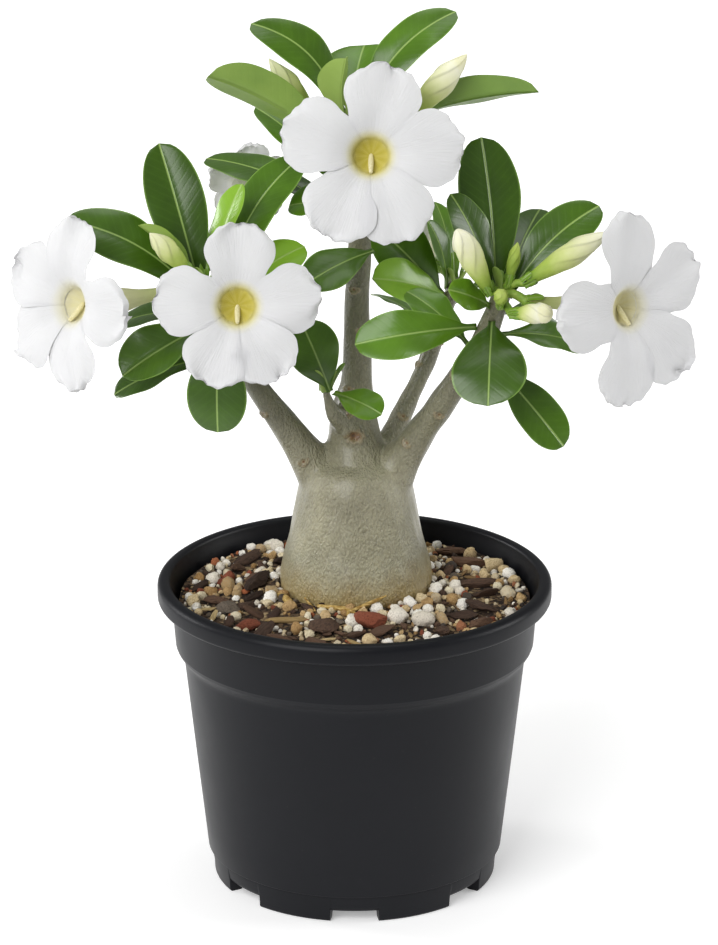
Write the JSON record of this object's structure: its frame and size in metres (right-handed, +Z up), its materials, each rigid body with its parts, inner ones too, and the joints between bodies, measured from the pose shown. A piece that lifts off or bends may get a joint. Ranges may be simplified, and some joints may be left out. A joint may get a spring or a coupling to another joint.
{
  "type": "potted desert rose adenium",
  "caption": "Desert rose plant in bloom: swollen trunk, branching stems, glossy leaves and white trumpet flowers, growing in gritty mix in a tapered round nursery pot.",
  "frame": {"origin": "middle of the pot's underside, on the surface the pot stands on", "axes": "+Z up along the pot's axis; -Y is the front, which the three large flowers face; +X is to the right seen from the front"},
  "size_m": [0.26, 0.152, 0.3409],
  "materials": {
    "pot_plastic": "satin moulded, charcoal black",
    "potting_mix": "loose matte grit: pumice, perlite, red lava and bark chips",
    "bark": "matte, finely wrinkled grey-green skin",
    "leaf": "waxy gloss on top, paler satin underneath",
    "petal": "matte, thin, slightly translucent",
    "bud": "satin, cream to green"
  },
  "bodies": {
    "root": {"bud_knob": "bud", "bud_left": "bud", "bud_right_green": "bud", "bud_right_long": "bud", "bud_right_stub": "bud", "bud_right_tall": "bud", "bud_top_left": "bud", "bud_top_right": "bud", "flower_far_left": "petal", "flower_far_right": "petal", "flower_left": "petal", "flower_rear_left": "petal", "flower_rear_right": "petal", "flower_top": "petal", "leaf_centre_01": "leaf", "leaf_centre_02": "leaf", "leaf_centre_03": "leaf", "leaf_centre_04": "leaf", "leaf_centre_05": "leaf", "leaf_centre_06": "leaf", "leaf_centre_07": "leaf", "leaf_centre_08": "leaf", "leaf_centre_09": "leaf", "leaf_centre_10": "leaf", "leaf_centre_11": "leaf", "leaf_left_01": "leaf", "leaf_left_02": "leaf", "leaf_left_03": "leaf", "leaf_left_04": "leaf", "leaf_left_05": "leaf", "leaf_left_06": "leaf", "leaf_left_07": "leaf", "leaf_left_08": "leaf", "leaf_left_09": "leaf", "leaf_left_10": "leaf", "leaf_left_11": "leaf", "leaf_rear_01": "leaf", "leaf_rear_02": "leaf", "leaf_rear_03": "leaf", "leaf_rear_04": "leaf", "leaf_rear_05": "leaf", "leaf_rear_06": "leaf", "leaf_rear_07": "leaf", "leaf_right_01": "leaf", "leaf_right_02": "leaf", "leaf_right_03": "leaf", "leaf_right_04": "leaf", "leaf_right_05": "leaf", "leaf_right_06": "leaf", "leaf_right_07": "leaf", "leaf_right_08": "leaf", "leaf_right_09": "leaf", "leaf_right_10": "leaf", "leaf_right_11": "leaf", "leaf_spur_01": "leaf", "leaf_spur_02": "leaf", "pot": "pot_plastic", "potting_mix": "potting_mix", "trunk": "bark"}
  },
  "joints": []
}
